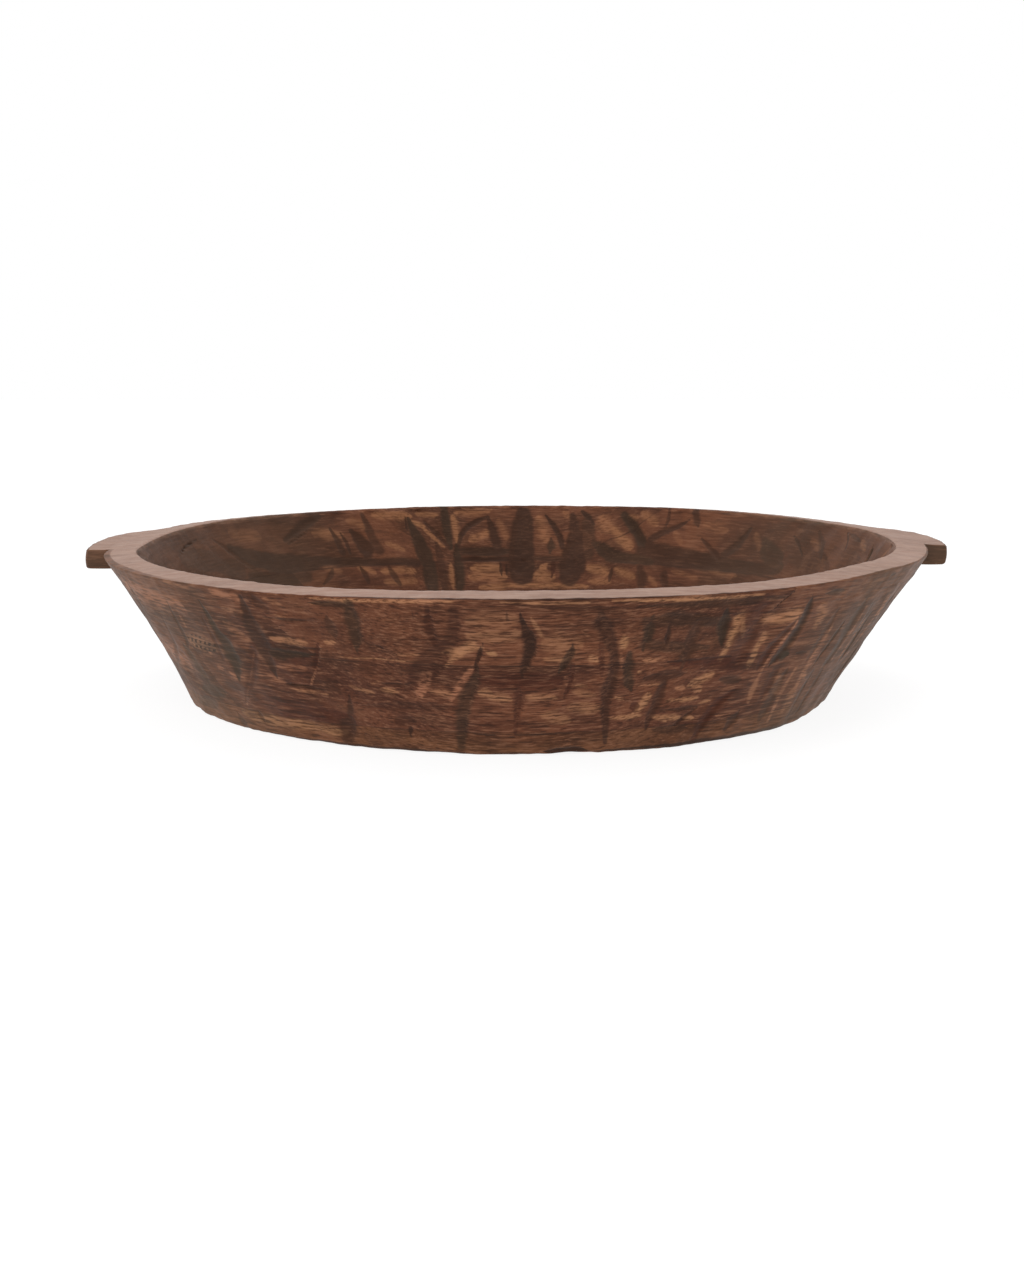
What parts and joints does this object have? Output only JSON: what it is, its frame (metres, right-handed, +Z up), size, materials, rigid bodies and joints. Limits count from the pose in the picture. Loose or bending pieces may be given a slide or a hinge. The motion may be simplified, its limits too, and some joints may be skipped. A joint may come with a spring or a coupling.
{
  "type": "carved wooden bowl",
  "caption": "Wide shallow round carved wooden bowl with a straight tapered wall, a thick flat rim and a small lug handle on each side, built up from glued boards.",
  "frame": {"origin": "centre of the flat underside of the base, on the surface it stands on", "axes": "+Z up, X from lug to lug and along the grain, -Y the front"},
  "size_m": [0.622, 0.584, 0.107],
  "materials": {
    "rim_wood": "dark brown wiped stain under a thin satin wax, worn lighter on the arrises",
    "wall_wood": "dark brown wiped stain under a thin satin wax, darker in the tool cuts",
    "base_wood": "dark brown wiped stain, satin, matt on the underside"
  },
  "bodies": {
    "root": {"rim_front_strip": "rim_wood", "rim_front_left_board": "rim_wood", "rim_front_right_board": "rim_wood", "rim_lug_left_board": "rim_wood", "rim_lug_right_board": "rim_wood", "rim_back_left_board": "rim_wood", "rim_back_right_board": "rim_wood", "rim_back_strip": "rim_wood", "wall_front_board": "wall_wood", "wall_front_left_board": "wall_wood", "wall_front_right_board": "wall_wood", "wall_back_left_board": "wall_wood", "wall_back_right_board": "wall_wood", "wall_back_board": "wall_wood", "base_front_board": "base_wood", "base_centre_board": "base_wood", "base_back_board": "base_wood"}
  },
  "joints": []
}
